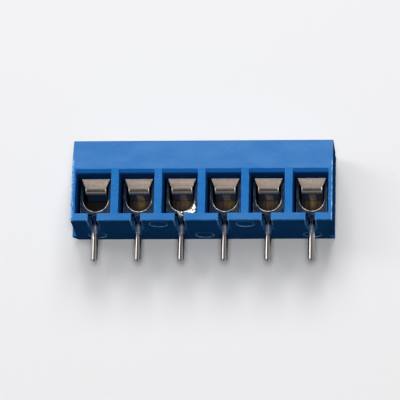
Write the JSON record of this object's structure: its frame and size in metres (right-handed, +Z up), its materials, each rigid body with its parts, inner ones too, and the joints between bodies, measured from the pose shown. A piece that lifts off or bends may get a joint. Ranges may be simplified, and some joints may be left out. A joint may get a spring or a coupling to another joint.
{
  "type": "pcb screw terminal",
  "caption": "Screw terminal block for a circuit board: blue housing with a row of wire entries, folded clamping contacts with rolled solder pins, wire guards and clamp screws.",
  "frame": {"origin": "on the board plane, which is the housing's underside, at the middle of the row of pins", "axes": "+X along the row, -Y out of the wire entries, +Z up from the board; the pins point down -Z"},
  "size_m": [0.0305, 0.0077, 0.0138],
  "materials": {
    "housing_blue": "satin moulded polyamide",
    "contact_tin": "tin plate over brass",
    "guard_steel": "plain rolled strip, speckled",
    "screw_zinc": "bright zinc plate"
  },
  "bodies": {
    "block": {"housing": "housing_blue", "contact_1": "contact_tin", "contact_2": "contact_tin", "contact_3": "contact_tin", "contact_4": "contact_tin", "contact_5": "contact_tin", "contact_6": "contact_tin"},
    "guard_1": {"wire_guard_1": "guard_steel"},
    "screw_1": {"clamp_screw_1": "screw_zinc"},
    "guard_2": {"wire_guard_2": "guard_steel"},
    "screw_2": {"clamp_screw_2": "screw_zinc"},
    "guard_3": {"wire_guard_3": "guard_steel"},
    "screw_3": {"clamp_screw_3": "screw_zinc"},
    "guard_4": {"wire_guard_4": "guard_steel"},
    "screw_4": {"clamp_screw_4": "screw_zinc"},
    "guard_5": {"wire_guard_5": "guard_steel"},
    "screw_5": {"clamp_screw_5": "screw_zinc"},
    "guard_6": {"wire_guard_6": "guard_steel"},
    "screw_6": {"clamp_screw_6": "screw_zinc"}
  },
  "joints": [
    {"name": "guard_1_travel", "type": "slide", "parent": "block", "child": "guard_1", "axis": [0, 0, -1], "range_m": [0, 0.0016]},
    {"name": "screw_1_turn", "type": "hinge", "parent": "guard_1", "child": "screw_1", "pos_m": [-0.0125, 0.00145, 0.0076], "axis": [0, 0, -1], "range_deg": [0, 1281]},
    {"name": "guard_2_travel", "type": "slide", "parent": "block", "child": "guard_2", "axis": [0, 0, -1], "range_m": [0, 0.0016]},
    {"name": "screw_2_turn", "type": "hinge", "parent": "guard_2", "child": "screw_2", "pos_m": [-0.0075, 0.00145, 0.0076], "axis": [0, 0, -1], "range_deg": [0, 1281]},
    {"name": "guard_3_travel", "type": "slide", "parent": "block", "child": "guard_3", "axis": [0, 0, -1], "range_m": [0, 0.0016]},
    {"name": "screw_3_turn", "type": "hinge", "parent": "guard_3", "child": "screw_3", "pos_m": [-0.0025, 0.00145, 0.0076], "axis": [0, 0, -1], "range_deg": [0, 1281]},
    {"name": "guard_4_travel", "type": "slide", "parent": "block", "child": "guard_4", "axis": [0, 0, -1], "range_m": [0, 0.0016]},
    {"name": "screw_4_turn", "type": "hinge", "parent": "guard_4", "child": "screw_4", "pos_m": [0.0025, 0.00145, 0.0076], "axis": [0, 0, -1], "range_deg": [0, 1281]},
    {"name": "guard_5_travel", "type": "slide", "parent": "block", "child": "guard_5", "axis": [0, 0, -1], "range_m": [0, 0.0016]},
    {"name": "screw_5_turn", "type": "hinge", "parent": "guard_5", "child": "screw_5", "pos_m": [0.0075, 0.00145, 0.0076], "axis": [0, 0, -1], "range_deg": [0, 1281]},
    {"name": "guard_6_travel", "type": "slide", "parent": "block", "child": "guard_6", "axis": [0, 0, -1], "range_m": [0, 0.0016]},
    {"name": "screw_6_turn", "type": "hinge", "parent": "guard_6", "child": "screw_6", "pos_m": [0.0125, 0.00145, 0.0076], "axis": [0, 0, -1], "range_deg": [0, 1281]}
  ],
  "couplings": [
    {"joint": "screw_1_turn", "follows": "guard_1_travel", "rad_per_m": 13963},
    {"joint": "screw_2_turn", "follows": "guard_2_travel", "rad_per_m": 13963},
    {"joint": "screw_3_turn", "follows": "guard_3_travel", "rad_per_m": 13963},
    {"joint": "screw_4_turn", "follows": "guard_4_travel", "rad_per_m": 13963},
    {"joint": "screw_5_turn", "follows": "guard_5_travel", "rad_per_m": 13963},
    {"joint": "screw_6_turn", "follows": "guard_6_travel", "rad_per_m": 13963}
  ]
}
